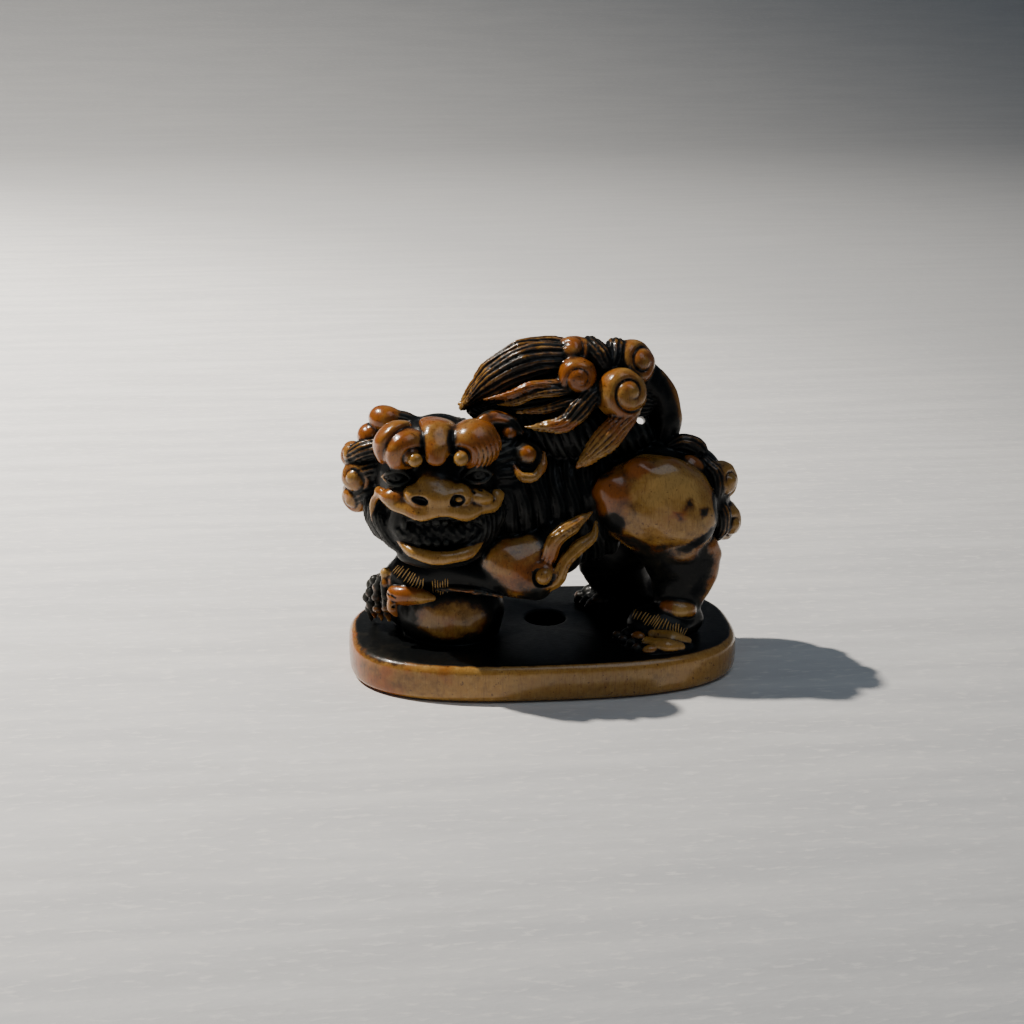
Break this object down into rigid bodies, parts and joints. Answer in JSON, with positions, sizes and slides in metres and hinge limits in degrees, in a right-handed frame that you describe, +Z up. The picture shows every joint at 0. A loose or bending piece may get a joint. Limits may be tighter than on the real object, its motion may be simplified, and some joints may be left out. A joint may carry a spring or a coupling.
{
  "type": "netsuke",
  "caption": "Carved boxwood toggle: a crouching lion dog with a forepaw on a ball, on an oval base with a cord hole.",
  "frame": {"origin": "centre of the base's flat underside", "axes": "+Z up; +X from the animal's head to its rump, along the base's long axis; -Y the side the head looks to"},
  "size_m": [0.041, 0.0252, 0.0343],
  "materials": {
    "stained_boxwood": "polished boxwood, stained black-brown in the carving and worn to golden ochre on the high places"
  },
  "bodies": {
    "root": {"netsuke": "stained_boxwood"}
  },
  "joints": []
}
